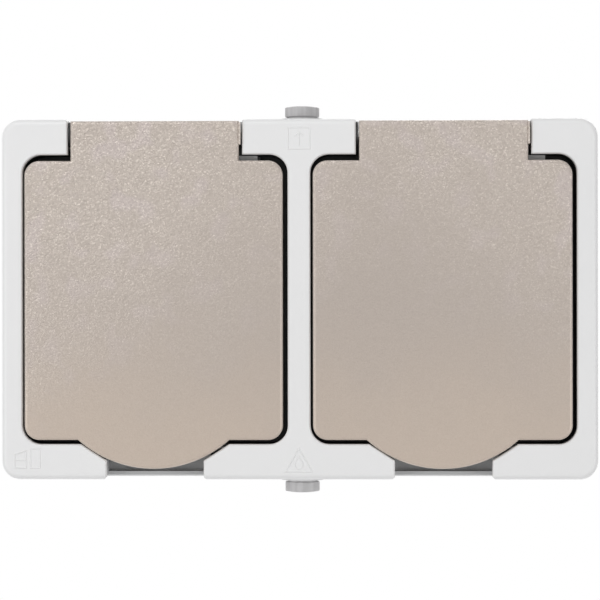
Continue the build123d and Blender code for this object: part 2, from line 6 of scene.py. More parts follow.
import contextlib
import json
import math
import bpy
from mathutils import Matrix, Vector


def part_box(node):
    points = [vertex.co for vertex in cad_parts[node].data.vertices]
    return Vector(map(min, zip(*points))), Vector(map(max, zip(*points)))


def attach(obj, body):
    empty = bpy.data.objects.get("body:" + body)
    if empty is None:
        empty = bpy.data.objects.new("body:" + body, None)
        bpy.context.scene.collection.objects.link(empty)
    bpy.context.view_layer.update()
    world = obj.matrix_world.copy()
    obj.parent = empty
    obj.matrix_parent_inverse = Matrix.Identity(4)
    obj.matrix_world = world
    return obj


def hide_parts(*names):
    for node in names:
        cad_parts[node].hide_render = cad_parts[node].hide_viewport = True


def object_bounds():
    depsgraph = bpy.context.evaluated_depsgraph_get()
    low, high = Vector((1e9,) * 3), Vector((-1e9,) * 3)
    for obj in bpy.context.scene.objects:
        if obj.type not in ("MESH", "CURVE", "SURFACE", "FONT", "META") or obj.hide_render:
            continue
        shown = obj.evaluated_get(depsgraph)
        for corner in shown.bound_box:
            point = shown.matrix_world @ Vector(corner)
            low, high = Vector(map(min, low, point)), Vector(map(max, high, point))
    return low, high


bl_info = {
    "name": "Two Gang Weatherproof Outlet",
    "version": (1, 0, 0),
    "blender": (4, 5, 0),
    "location": "View3D > Sidebar > Outlet",
    "description": "Gives the outlet its finishes, springs, seals, cable nipples, raised signs and stage",
    "category": "Object",
}

import bmesh
import bpy
from bpy.props import FloatProperty, FloatVectorProperty, IntProperty, PointerProperty
from mathutils import Vector

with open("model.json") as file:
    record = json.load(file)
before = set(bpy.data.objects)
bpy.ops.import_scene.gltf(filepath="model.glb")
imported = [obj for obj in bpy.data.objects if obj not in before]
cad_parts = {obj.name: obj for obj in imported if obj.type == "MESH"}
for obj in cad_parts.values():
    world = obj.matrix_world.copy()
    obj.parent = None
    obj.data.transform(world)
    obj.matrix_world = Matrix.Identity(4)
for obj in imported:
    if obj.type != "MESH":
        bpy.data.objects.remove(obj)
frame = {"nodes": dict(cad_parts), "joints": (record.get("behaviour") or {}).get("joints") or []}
cad_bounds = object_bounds()

MM = 0.001
SIDES = ("left", "right")
ORIGIN = (0.0, 0.0, 0.0)
WHITE = (1.0, 1.0, 1.0, 1.0)
BLACK = (0.0, 0.0, 0.0, 1.0)
QUARTER_TURN = math.radians(90)
PLASTIC_IOR = 1.49
FLOW_CLOUD = 18 * MM
# A camera's sensor is measured in millimetres
SENSOR_WIDTH = 36.0
FRONT_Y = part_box("front_frame")[0].y
LID_FRONT_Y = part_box("left_lid")[0].y
HINGES = {joint["child"].split("_")[0]: Vector(joint["pos_m"]) for joint in frame["joints"]}
WINDOW_PITCH = HINGES["right"].x - HINGES["left"].x


# Shader maths

class Wire:
    """A node's output that reads as a number in Python expressions."""

    def __init__(self, finish, socket):
        self.finish = finish
        self.socket = socket

    def math(self, operation, first, second):
        return self.finish.node("Math", {"operation": operation}, {0: first, 1: second})

    def __add__(self, other):
        return self.math("ADD", self, other)

    def __radd__(self, other):
        return self.math("ADD", other, self)

    def __sub__(self, other):
        return self.math("SUBTRACT", self, other)

    def __rsub__(self, other):
        return self.math("SUBTRACT", other, self)

    def __mul__(self, other):
        return self.math("MULTIPLY", self, other)

    def __rmul__(self, other):
        return self.math("MULTIPLY", other, self)

    def __mod__(self, other):
        return self.math("FLOORED_MODULO", self, other)

    def __abs__(self):
        return self.math("ABSOLUTE", self, 0.0)


class Finish:
    """The node tree of a material or a world. Every node in it comes from the method node."""

    def __init__(self, block):
        block.use_nodes = True
        self.block = block
        self.tree = block.node_tree
        self.tree.nodes.clear()

    def node(self, kind, settings=None, inputs=None, output=0):
        made = self.tree.nodes.new(f"ShaderNode{kind}")
        for key, value in (settings or {}).items():
            setattr(made, key, value)
        for key, value in (inputs or {}).items():
            if isinstance(value, Wire):
                self.tree.links.new(value.socket, made.inputs[key])
            else:
                made.inputs[key].default_value = value
        return Wire(self, made.outputs[output]) if made.outputs else None

    def place(self, axis=None):
        """Object coordinates, or one of them as a number."""
        vector = self.node("TexCoord", output="Object")
        return self.node("SeparateXYZ", {}, {0: vector}, axis) if axis else vector

    def drawn_out(self, x=1.0, z=1.0):
        """Object coordinates that stretch what is drawn on them, the more the smaller a share is."""
        return self.node("Mapping", {}, {"Vector": self.place(), "Scale": (x, 1.0, z)})

    def noise(self, size, detail=2.0, distortion=0.0, place=None):
        """Soft noise about 0.5, with lumps of the given size."""
        return self.node("TexNoise", {}, {
            "Vector": place or self.place(), "Scale": 1 / size, "Detail": detail, "Distortion": distortion,
        })

    def cells(self, size):
        """A random level from 0 to 1 in each cell of the given size."""
        tint = self.node("TexVoronoi", {}, {"Vector": self.place(), "Scale": 1 / size}, "Color")
        return self.node("SeparateColor", {}, {0: tint})

    def pebbles(self, size):
        """Rounded pebbles of the given size, high in their middles."""
        near = self.node("TexVoronoi", {"feature": "SMOOTH_F1"}, {
            "Vector": self.place(), "Scale": 1 / size, "Smoothness": 0.8,
        })
        return 1.0 - near

    def ramp(self, value, low, high):
        """0 where the value is at low, 1 where it is at high, and smooth between."""
        return self.node("MapRange", {"interpolation_type": "SMOOTHSTEP"}, {
            "Value": value, "From Min": low, "From Max": high,
        })

    def above(self, value, limit, fade):
        """0 up to the limit, and 1 from a fade past it."""
        return self.ramp(value, limit, limit + fade)

    def below(self, value, limit, fade):
        """0 from the limit on, and 1 up to a fade short of it."""
        return self.ramp(value, limit, limit - fade)

    def blend(self, factor, first, second):
        """A colour between two colours."""
        return self.node("Mix", {"data_type": "RGBA"}, {0: factor, 6: first, 7: second}, 2)

    def bump(self, height, depth):
        """Relief of the given depth from a height between 0 and 1."""
        return self.node("Bump", {}, {"Height": height, "Distance": depth})

    def surface(self, values):
        """Ends the material in one shader with these values or links."""
        self.node("OutputMaterial", {}, {"Surface": self.node("BsdfPrincipled", {}, values)})
        return self.block


def colour(rgb, level=1.0):
    """A colour with its alpha, scaled by a level."""
    return tuple(channel * level for channel in rgb[:3]) + (1.0,)


def plastic(name, rgb, roughness, grain, relief, rim=0.0):
    """Moulded plastic with a fine grain, faint flow clouds, an uneven sheen and, when a rim is given, a
    painted highlight that lightens the rounded front edges.
    """
    finish = Finish(bpy.data.materials.new(name))
    clouds = finish.noise(FLOW_CLOUD, 3.0)
    speck = finish.noise(grain, 1.0)
    tint = finish.blend(clouds, colour(rgb, 0.985), colour(rgb, 1.015))
    if rim:
        # Painted highlight: the frame's rounded front edges are made lighter in colour, as if they caught
        # the light
        depth = finish.place("Y") - FRONT_Y
        rounded = finish.above(depth, 0.1 * MM, 0.7 * MM) * finish.below(depth, 3.0 * MM, 1.2 * MM)
        tint = finish.blend(rounded, tint, colour(rgb, 1 + rim))
    return finish.surface({
        "Base Color": tint,
        "Roughness": roughness + (speck - 0.5) * 0.10 + (clouds - 0.5) * 0.06,
        "Normal": finish.bump(speck, relief),
        "IOR": PLASTIC_IOR,
    })


def insert_plastic(name, look):
    """Grey plastic of the plates with a black band of painted shade round each window, where the deep gap
    round each lid lies in shade; the band is left off the post and the pocket.
    """
    # Edges, sideways from the middle of a window and up from the middle of the row
    half_width, half_height = 30.6 * MM, 33.2 * MM
    post_inner, post_outer = 19.25 * MM, 26.35 * MM
    post_foot, post_head = 33.2 * MM, 36.44 * MM
    pocket_top = -37.4 * MM
    soft, firm, crisp = 0.4 * MM, 0.3 * MM, 0.08 * MM

    finish = Finish(bpy.data.materials.new(name))
    grey = colour(look.insert_colour)
    height = finish.place("Z")
    aside = finish.place("X") % WINDOW_PITCH - WINDOW_PITCH / 2
    post = finish.above(aside, post_inner, soft) * finish.below(aside, post_outer, soft)
    post = post * finish.above(height, post_foot, firm) * finish.below(height, post_head, crisp)
    inside = finish.below(abs(aside), half_width, soft) * finish.below(abs(height), half_height, soft)
    # Painted shade: a black band round each window, where the deep gap round the lid lies in shade
    band = (1.0 - inside) * (1.0 - post) * finish.above(height, pocket_top, firm)
    clouds = finish.noise(FLOW_CLOUD, 3.0)
    speck = finish.noise(0.25 * MM, 1.0)
    tint = finish.blend(clouds, colour(grey, 0.97), colour(grey, 1.03))
    return finish.surface({
        "Base Color": finish.blend(band, tint, colour(look.painted_shade_colour)),
        "Roughness": look.sheen + 0.04 + (speck - 0.5) * 0.12 + (clouds - 0.5) * 0.06,
        "Normal": finish.bump(speck, 0.014 * MM),
        "IOR": PLASTIC_IOR,
    })


def lacquer(name, look):
    """Metallic lacquer on a leather grain that is deep at the top of the left lid and dies out downwards, as
    the light shows it, with painted highlights on the pebbles, painted glints, a painted highlight on the
    rounded edge and painted light from below on the foot.
    """
    cloud_size, patch_size = 16 * MM, 7 * MM
    flake_size, glint_size = 0.16 * MM, 0.31 * MM
    grain_sway, warm_lit_sway = 30 * MM, 20 * MM
    grain_drop = 9 * MM
    warm_lit_foot, warm_lit_head = -46 * MM, 4 * MM

    finish = Finish(bpy.data.materials.new(name))
    height = finish.place("Z")
    depth = finish.place("Y") - LID_FRONT_Y
    clouds = finish.noise(cloud_size, 2.0) - 0.5
    patches = finish.noise(patch_size, 1.0)
    # The grain is on the outside of the lid alone
    outside = finish.below(depth, 1.6 * MM, 1.0 * MM)
    # Where the light shows the grain, strong at the top of the left lid and dying out downwards: it sets the
    # grain's depth, the cooler patches, the painted highlights on the pebbles and the painted glints
    aside = abs(finish.place("X") - look.grain_low) * look.grain_slant - grain_drop
    lit_grain_mask = finish.ramp(height + aside + clouds * grain_sway, look.grain_end, look.grain_full) * outside
    worms = finish.ramp(finish.noise(look.grain_size, 1.0, 0.5), 0.36, 0.64)
    lumps = worms * 0.6 + finish.pebbles(look.grain_size * 0.8) * 0.6
    fine = finish.noise(look.grain_size * 0.5, 2.0, place=finish.drawn_out(x=0.6))
    relief = lumps * (0.05 + lit_grain_mask * 0.95) + fine * 0.28
    flakes = finish.cells(flake_size)
    # Painted glints: a few cells made light where the light shows the grain
    painted_glints = finish.ramp(finish.cells(glint_size), 0.82, 0.97) * lit_grain_mask
    # Painted light from below: the lacquer grows lighter, as well as warmer, towards the bottom
    foot_light_and_warmth = finish.ramp(height + clouds * warm_lit_sway, warm_lit_foot, warm_lit_head)
    # Painted highlight on the lid's rounded front edge
    edge = finish.ramp(depth, 0.04 * MM, 0.5 * MM)
    base = finish.blend(foot_light_and_warmth, colour(look.lit_warm_foot_colour), colour(look.head_colour))
    cool = finish.blend(finish.ramp(patches, 0.5, 0.68) * lit_grain_mask * 0.8, base, colour(look.cool_colour))
    # Random tone of the real flakes, with painted highlights on the pebble tops, painted glints and a
    # painted highlight on the rounded edge
    flakes_and_painted_highlights = flakes * 0.12 + lumps * lit_grain_mask * look.pebble_highlight + painted_glints * look.painted_glint + edge * look.painted_edge_light
    lit = finish.blend(flakes_and_painted_highlights, cool, colour(look.flake_and_highlight_colour))
    return finish.surface({
        "Base Color": lit,
        "Metallic": look.metallic,
        "Roughness": look.roughness + (flakes - 0.5) * 0.12 - lit_grain_mask * 0.05,
        "Normal": finish.bump(relief, look.grain_depth),
        "Coat Weight": 0.1,
        "Coat Roughness": 0.28,
    })


def metal(name, rgb, roughness, streak):
    """Metal drawn or rolled along X, with faint streaks and dull patches."""
    finish = Finish(bpy.data.materials.new(name))
    streaks = finish.noise(streak, 3.0, place=finish.drawn_out(x=0.08))
    patches = finish.noise(3 * MM, 2.0)
    return finish.surface({
        "Base Color": finish.blend(patches, colour(rgb, 0.86), colour(rgb)),
        "Metallic": 1.0,
        "Roughness": roughness + (streaks - 0.5) * 0.16 + (patches - 0.5) * 0.1,
        "Normal": finish.bump(streaks, 0.01 * MM),
    })


def rubber(name, rgb, roughness):
    """Soft rubber with a dusty bloom, faint upright light and dark streaks painted to stand in for the
    reflections of the lamps, and a matt skin.
    """
    finish = Finish(bpy.data.materials.new(name))
    # Painted highlights: upright light and dark streaks that stand in for reflections
    painted_streaks = finish.noise(1.5 * MM, 1.0, place=finish.drawn_out(z=0.12))
    dust_and_painted_streaks = finish.noise(2.2 * MM, 3.0) * 0.4 + finish.ramp(painted_streaks, 0.3, 0.7) * 0.6
    skin = finish.noise(0.16 * MM, 1.0)
    return finish.surface({
        "Base Color": finish.blend(dust_and_painted_streaks, colour(rgb, 0.84), colour(rgb, 1.16)),
        "Roughness": roughness + (dust_and_painted_streaks - 0.5) * 0.14,
        "Normal": finish.bump(skin, 0.012 * MM),
        "Specular IOR Level": 0.45,
    })


def paint(piece, material):
    """Gives a piece its only material."""
    piece.data.materials.clear()
    piece.data.materials.append(material)


# Modelling by hand

def pick(piece):
    """Selects one piece alone, and makes it active."""
    bpy.ops.object.select_all(action="DESELECT")
    piece.select_set(True)
    bpy.context.view_layer.objects.active = piece


def begin(name, add, **start):
    """Adds a primitive with nothing else selected."""
    bpy.ops.object.select_all(action="DESELECT")
    add(**start)
    piece = bpy.context.active_object
    piece.name = piece.data.name = name
    return piece


@contextlib.contextmanager
def shaping(piece, kind="FACE"):
    """Edit mode on one piece, with nothing selected at first."""
    pick(piece)
    bpy.ops.object.mode_set(mode="EDIT")
    bpy.ops.mesh.select_mode(type=kind)
    bpy.ops.mesh.select_all(action="DESELECT")
    yield
    bpy.ops.object.mode_set(mode="OBJECT")


def centre(part):
    """The middle of an edge or a face."""
    return sum((vertex.co for vertex in part.verts), Vector()) / len(part.verts)


def choose(piece, kind, test):
    """Selects the edges or faces that pass a test, and no others."""
    bpy.ops.mesh.select_all(action="DESELECT")
    mesh = bmesh.from_edit_mesh(piece.data)
    for part in getattr(mesh, kind):
        if test(part):
            part.select_set(True)
    bmesh.update_edit_mesh(piece.data)


def modify(piece, kind, **settings):
    """Adds a modifier and applies it."""
    pick(piece)
    modifier = piece.modifiers.new(kind.title(), kind)
    for key, value in settings.items():
        setattr(modifier, key, value)
    bpy.ops.object.modifier_apply(modifier=modifier.name)


def apply_place(piece, location=True):
    """Moves a piece's turn and scale, and unless told otherwise its place, into its mesh."""
    pick(piece)
    bpy.ops.object.transform_apply(location=location, rotation=True, scale=True)


def settle(piece, body, smooth_angle):
    """Puts a finished piece's place in its mesh, points its faces outwards, smooths it and lets it ride."""
    apply_place(piece)
    with shaping(piece):
        bpy.ops.mesh.select_all(action="SELECT")
        bpy.ops.mesh.remove_doubles(threshold=1e-6)
        bpy.ops.mesh.normals_make_consistent(inside=False)
    pick(piece)
    bpy.ops.object.shade_smooth_by_angle(angle=math.radians(smooth_angle))
    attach(piece, body)


def lathe(name, foot, rings, sides):
    """A turned piece on an upright axis: a disc drawn through rings of (radius, height above the foot)."""
    radius, height = rings[0]
    piece = begin(
        name, bpy.ops.mesh.primitive_circle_add, vertices=sides, radius=radius, fill_type="NGON",
        location=foot + Vector((0, 0, height)),
    )
    with shaping(piece):
        bpy.ops.mesh.select_all(action="SELECT")
        for next_radius, next_height in rings[1:]:
            bpy.ops.mesh.extrude_region_move(TRANSFORM_OT_translate={"value": (0, 0, next_height - height)})
            grow = next_radius / radius
            middle = foot + Vector((0, 0, next_height))
            bpy.ops.transform.resize(value=(grow, grow, 1), center_override=middle)
            radius, height = next_radius, next_height
    return piece


# Sizes and colours that a user would change

class ShellLook(bpy.types.PropertyGroup):
    """Light plastic of the frame and the rear box, and the grey plastic inside."""

    frame_colour: FloatVectorProperty(
        name="Frame colour", description="Light grey plastic of the front frame", subtype="COLOR",
        default=(0.783, 0.783, 0.785),
    )
    # Painted highlight on the frame's rounded front edges
    rim: FloatProperty(
        name="Rim", description="How much lighter the frame's rounded edges are", default=0.12
    )
    box_colour: FloatVectorProperty(
        name="Box colour", description="Light grey plastic of the rear box", subtype="COLOR",
        default=(0.755, 0.757, 0.760),
    )
    insert_colour: FloatVectorProperty(
        name="Insert colour", description="Grey plastic of the plates and the plug wells", subtype="COLOR",
        default=(0.540, 0.545, 0.550),
    )
    # Painted shade round each window
    painted_shade_colour: FloatVectorProperty(
        name="Lining colour", description="Black band round each window", subtype="COLOR",
        default=(0.016, 0.016, 0.016),
    )
    block_colour: FloatVectorProperty(
        name="Block colour", description="Ivory plastic of the two contact blocks", subtype="COLOR",
        default=(0.720, 0.675, 0.560),
    )
    sheen: FloatProperty(
        name="Sheen roughness", description="Roughness of the moulded skin", default=0.42, min=0.1, max=1.0
    )


class SignLook(bpy.types.PropertyGroup):
    """The faint signs moulded on the frame."""

    relief: FloatProperty(
        name="Relief", description="How far a sign stands out of the frame", default=0.16 * MM, unit="LENGTH"
    )
    line: FloatProperty(name="Line", description="Width of a sign's line", default=0.40 * MM, unit="LENGTH")
    slope: FloatProperty(
        name="Slope", description="Width of the sloping side of a line", default=0.14 * MM, unit="LENGTH"
    )
    size: FloatProperty(
        name="Size", description="Height of the square sign", default=5.8 * MM, unit="LENGTH"
    )


class LidLook(bpy.types.PropertyGroup):
    """Champagne lacquer of the lids."""

    head_colour: FloatVectorProperty(
        name="Colour at the top", description="Lacquer near the hinge", subtype="COLOR",
        default=(0.394, 0.341, 0.303),
    )
    # Painted light from below makes this lighter than the colour at the top, as well as warmer
    lit_warm_foot_colour: FloatVectorProperty(
        name="Colour at the bottom", description="Lacquer near the finger lobe", subtype="COLOR",
        default=(0.462, 0.384, 0.321),
    )
    cool_colour: FloatVectorProperty(
        name="Colour of the patches", description="Cooler patches among the grain", subtype="COLOR",
        default=(0.428, 0.368, 0.354),
    )
    # Colour of the flakes, and of the painted highlights and glints
    flake_and_highlight_colour: FloatVectorProperty(
        name="Flake colour", description="Light metal flakes in the lacquer", subtype="COLOR",
        default=(0.760, 0.690, 0.620),
    )
    grain_size: FloatProperty(
        name="Grain size", description="Width of a pebble of the grain", default=0.62 * MM, unit="LENGTH"
    )
    grain_depth: FloatProperty(
        name="Grain depth", description="Depth of the grain at the top", default=0.170 * MM, unit="LENGTH"
    )
    grain_full: FloatProperty(
        name="Grain is full at", description="Height where the grain is deepest",
        default=60 * MM, unit="LENGTH",
    )
    grain_end: FloatProperty(
        name="Grain ends at", description="Height where the grain has died out",
        default=-18 * MM, unit="LENGTH",
    )
    grain_slant: FloatProperty(
        name="Grain slant", description="How much stronger the grain grows away from its faint place",
        default=0.50,
    )
    grain_low: FloatProperty(
        name="Grain is faint at", description="Place along the row where the grain is faintest",
        default=18 * MM, unit="LENGTH",
    )
    # Painted highlight on the tops of the pebbles
    pebble_highlight: FloatProperty(
        name="Glint", description="How much lighter the tops of the pebbles are", default=0.16
    )
    # Painted glints among the grain
    painted_glint: FloatProperty(name="Spark", description="How much lighter a few large flakes are", default=0.40)
    # Painted highlight on the lid's rounded edge
    painted_edge_light: FloatProperty(
        name="Edge light", description="How much lighter the rounded edge is", default=0.35
    )
    metallic: FloatProperty(name="Metallic", description="Share of metal in the lacquer", default=0.35)
    roughness: FloatProperty(name="Roughness", description="Roughness of the lacquer", default=0.44)


class MetalLook(bpy.types.PropertyGroup):
    """Brass of the contacts, and steel of the screws, pins and springs."""

    brass_colour: FloatVectorProperty(
        name="Brass colour", description="Bright brass of the contacts", subtype="COLOR",
        default=(0.72, 0.50, 0.20),
    )
    zinc_colour: FloatVectorProperty(
        name="Zinc colour", description="Zinc plated steel of screws, hinge pins and earth straps",
        subtype="COLOR", default=(0.62, 0.62, 0.60),
    )
    wire_colour: FloatVectorProperty(
        name="Wire colour", description="Spring steel of the lid springs", subtype="COLOR",
        default=(0.50, 0.50, 0.51),
    )


class SpringLook(bpy.types.PropertyGroup):
    """The torsion spring of each lid."""

    turns: FloatProperty(name="Turns", description="Turns of the coil", default=3.25)
    wire: FloatProperty(
        name="Wire radius", description="Radius of the wire", default=0.3 * MM, unit="LENGTH"
    )
    coil: FloatProperty(
        name="Coil radius", description="Mean radius of the coil", default=1.75 * MM, unit="LENGTH"
    )
    steps: IntProperty(name="Steps", description="Steps along the whole coil", default=104)


class RubberLook(bpy.types.PropertyGroup):
    """Nipples and seals."""

    nipple_colour: FloatVectorProperty(
        name="Nipple colour", description="Grey rubber of the cable nipples and the box seal",
        subtype="COLOR", default=(0.565, 0.556, 0.562),
    )
    seal_colour: FloatVectorProperty(
        name="Seal colour", description="Black rubber of the lid seals", subtype="COLOR",
        default=(0.030, 0.030, 0.032),
    )
    sides: IntProperty(name="Sides", description="Sides of a turned nipple", default=64)


class StageLook(bpy.types.PropertyGroup):
    """Camera, lamps and floor."""

    distance: FloatProperty(
        name="Camera distance", description="From the camera to the front of the outlet", default=0.6,
        unit="LENGTH",
    )
    view_width: FloatProperty(
        name="View width", description="Width of the picture at the front of the outlet", default=0.1509,
        unit="LENGTH",
    )
    azimuth: FloatProperty(
        name="Azimuth", description="How far the camera stands to the right",
        default=math.radians(1.45), subtype="ANGLE",
    )
    roll: FloatProperty(
        name="Roll", description="Turn of the camera about its line of sight",
        default=-0.0013, subtype="ANGLE",
    )
    world_level: FloatProperty(name="World level", description="Even light from all round", default=0.38)
    key_power: FloatProperty(
        name="Key power", description="Lamp in front, above and to the left", default=1.74, subtype="POWER"
    )
    fill_power: FloatProperty(
        name="Fill power", description="Each of the two wide lamps in front, at the sides",
        default=2.75, subtype="POWER",
    )
    back_power: FloatProperty(
        name="Back power", description="Lamp behind, for the back", default=3.2, subtype="POWER"
    )
    floor_drop: FloatProperty(
        name="Floor drop", description="From the foot of the outlet to the floor",
        default=0.11, unit="LENGTH",
    )
    floor_radius: FloatProperty(
        name="Floor radius", description="Radius of the round floor", default=0.62, unit="LENGTH"
    )
    floor_glow: FloatProperty(
        name="Floor glow", description="What brings the floor up to the white of the background",
        default=0.64,
    )


# One operator for each piece or group of pieces

class OUTLET_OT_shells(bpy.types.Operator):
    """Finish the front frame, the rear box, the inserts and the contact blocks"""

    bl_idname = "outlet.shells"
    bl_label = "Finish the shells"

    def execute(self, context):
        look = context.scene.outlet_shells
        light = plastic(
            "satin_light_plastic", look.frame_colour, look.sheen, 0.30 * MM, 0.012 * MM, look.rim
        )
        pale = plastic("matt_light_plastic", look.box_colour, look.sheen + 0.1, 0.30 * MM, 0.016 * MM)
        grey = plastic("satin_grey_plastic", look.insert_colour, look.sheen + 0.04, 0.25 * MM, 0.014 * MM)
        ivory = plastic("ivory_block_plastic", look.block_colour, look.sheen + 0.12, 0.35 * MM, 0.014 * MM)
        paint(frame["nodes"]["front_frame"], light)
        paint(frame["nodes"]["rear_box"], pale)
        painted_shade_insert = insert_plastic("lined_grey_plastic", look)
        for side in SIDES:
            paint(frame["nodes"][f"{side}_socket_face"], painted_shade_insert)
            paint(frame["nodes"][f"{side}_well_insert"], grey)
            paint(frame["nodes"][f"{side}_contact_block"], ivory)
        return {"FINISHED"}


class OUTLET_OT_lids(bpy.types.Operator):
    """Lacquer the two lids"""

    bl_idname = "outlet.lids"
    bl_label = "Lacquer the lids"

    def execute(self, context):
        champagne = lacquer("champagne_lacquer", context.scene.outlet_lids)
        for side in SIDES:
            paint(frame["nodes"][f"{side}_lid"], champagne)
        return {"FINISHED"}


class OUTLET_OT_metals(bpy.types.Operator):
    """Finish the contacts, the earth straps, the hinge pins and the smaller screws"""

    bl_idname = "outlet.metals"
    bl_label = "Finish the metal pieces"

    def execute(self, context):
        look = context.scene.outlet_metals
        brass = metal("bright_brass", look.brass_colour, 0.26, 0.2 * MM)
        zinc = metal("zinc_plated_steel", look.zinc_colour, 0.32, 0.2 * MM)
        for side in SIDES:
            for name in ("line_contact", "neutral_contact"):
                paint(frame["nodes"][f"{side}_{name}"], brass)
            for name in ("earth_strap", "terminal_screws", "block_screws", "face_screws", "hinge_pin"):
                paint(frame["nodes"][f"{side}_{name}"], zinc)
        return {"FINISHED"}


class OUTLET_OT_springs(bpy.types.Operator):
    """Wind the torsion spring of each lid"""

    bl_idname = "outlet.springs"
    bl_label = "Wind the lid springs"

    def execute(self, context):
        look = context.scene.outlet_springs
        wire_colour = context.scene.outlet_metals.wire_colour
        wire_steel = metal("spring_wire_steel", wire_colour, 0.30, 0.12 * MM)
        for side in SIDES:
            node = f"{side}_hinge_spring"
            low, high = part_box(node)
            hinge = HINGES[side]
            start = Vector((low.x + look.wire, hinge.y, hinge.z))
            length = high.x - low.x - 2 * look.wire
            spring = begin(
                f"{side}_lid_spring", bpy.ops.mesh.primitive_circle_add, vertices=12, radius=look.wire,
                fill_type="NOTHING", location=start,
            )
            with shaping(spring, "VERT"):
                bpy.ops.mesh.select_all(action="SELECT")
                bpy.ops.transform.translate(value=(0, -look.coil, 0))
            modify(
                spring, "SCREW", axis="X", angle=look.turns * math.tau, screw_offset=length,
                steps=look.steps, render_steps=look.steps, iterations=1, use_normal_calculate=True,
            )
            apply_place(spring)
            front_end = hinge.y - look.coil / 2
            lower_end = hinge.z - look.coil / 2
            with shaping(spring, "EDGE"):
                self.draw_leg(spring, lambda place: place.y < front_end, (0, 0, high.z - hinge.z))
                self.draw_leg(spring, lambda place: place.z < lower_end, (0, high.y - hinge.y, 0))
            settle(spring, "housing", 50.0)
            paint(spring, wire_steel)
            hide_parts(node)
        return {"FINISHED"}

    def draw_leg(self, spring, here, run):
        """Draws the wire's open end at the place that a test names out into a straight, closed leg."""
        choose(spring, "edges", lambda edge: edge.is_boundary and here(centre(edge)))
        bpy.ops.mesh.extrude_edges_move(TRANSFORM_OT_translate={"value": run})
        bpy.ops.mesh.edge_face_add()


# A nipple's outline as (radius, height) in mm. The foot's heights go up from the inner end of the nipple,
# and the head's go down from its outer end.
NIPPLE_FOOT = ((2.9, 0.8), (2.9, 0.0), (6.2, 0.0), (6.6, 0.4), (6.6, 1.0), (6.3, 1.3), (3.95, 1.3))
NIPPLE_HEAD = (
    (3.95, 3.15), (4.38, 3.1), (4.5, 2.95), (4.55, 2.6), (4.55, 0.80), (4.50, 0.66),
    (4.38, 0.58), (3.2, 0.38), (2.6, 0.30), (2.35, 0.45), (1.2, 0.32), (0.4, 0.26),
)


class OUTLET_OT_nipples(bpy.types.Operator):
    """Turn the rubber cable nipples in the top and the bottom edge"""

    bl_idname = "outlet.nipples"
    bl_label = "Turn the cable nipples"

    def execute(self, context):
        look = context.scene.outlet_rubber
        grey = rubber("grey_nipple_rubber", look.nipple_colour, 0.5)
        for name, node, way in (
            ("top_nipple", "top_cable_grommet", 1), ("bottom_nipple", "bottom_cable_grommet", -1),
        ):
            low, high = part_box(node)
            middle = (low + high) / 2
            inner, outer = (low.z, high.z) if way > 0 else (-high.z, -low.z)
            rings = [(radius * MM, height * MM) for radius, height in NIPPLE_FOOT]
            rings += [(radius * MM, outer - inner - drop * MM) for radius, drop in NIPPLE_HEAD]
            nipple = lathe(name, Vector((middle.x, middle.y, inner)), rings, look.sides)
            if way < 0:
                apply_place(nipple)
                with shaping(nipple):
                    bpy.ops.mesh.select_all(action="SELECT")
                    bpy.ops.transform.resize(value=(1, 1, -1), center_override=ORIGIN)
            settle(nipple, "housing", 28.0)
            paint(nipple, grey)
            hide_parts(node)
        return {"FINISHED"}


class OUTLET_OT_seals(bpy.types.Operator):
    """Mould the lid seals and the seal of the rear box"""

    bl_idname = "outlet.seals"
    bl_label = "Mould the seals"

    def execute(self, context):
        look = context.scene.outlet_rubber
        black = rubber("black_seal_rubber", look.seal_colour, 0.6)
        grey = rubber("grey_seal_rubber", look.nipple_colour, 0.55)
        for side in SIDES:
            node = f"{side}_lid_seal"
            low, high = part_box(node)
            middle = (low + high) / 2
            band = 3.2 * MM
            outer = (high.x - low.x) / 2
            seal = begin(
                f"{side}_lid_lip_seal", bpy.ops.mesh.primitive_torus_add, major_segments=96,
                minor_segments=16, major_radius=outer - band / 2, minor_radius=band / 2, location=middle,
                rotation=(QUARTER_TURN, 0, 0),
            )
            apply_place(seal, location=False)
            with shaping(seal):
                bpy.ops.mesh.select_all(action="SELECT")
                bpy.ops.transform.resize(value=(1, (high.y - low.y) / band, 1), center_override=middle)
            settle(seal, f"{side}_lid", 60.0)
            paint(seal, black)
            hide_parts(node)
        self.box_seal(grey)
        return {"FINISHED"}

    def box_seal(self, material):
        """A rounded cord all round the rim of the rear box."""
        node = "box_seal"
        low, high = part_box(node)
        middle = (low + high) / 2
        cord_w, corner = 1.2 * MM, 2.6 * MM
        ring = begin(
            "box_rim_seal", bpy.ops.mesh.primitive_plane_add, size=1, location=middle,
            rotation=(QUARTER_TURN, 0, 0),
        )
        ring.scale = (high.x - low.x - cord_w, high.z - low.z - cord_w, 1)
        apply_place(ring, location=False)
        with shaping(ring, "VERT"):
            bpy.ops.mesh.select_all(action="SELECT")
            bpy.ops.mesh.bevel(offset=corner, segments=8, affect="VERTICES")
            bpy.ops.mesh.select_all(action="SELECT")
            bpy.ops.mesh.delete(type="ONLY_FACE")
        pick(ring)
        bpy.ops.object.convert(target="CURVE")
        ring.data.bevel_depth = cord_w / 2
        ring.data.bevel_resolution = 3
        bpy.ops.object.convert(target="MESH")
        apply_place(ring)
        with shaping(ring):
            bpy.ops.mesh.select_all(action="SELECT")
            bpy.ops.transform.resize(value=(1, (high.y - low.y) / cord_w, 1), center_override=middle)
        settle(ring, "housing", 60.0)
        paint(ring, material)
        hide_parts(node)


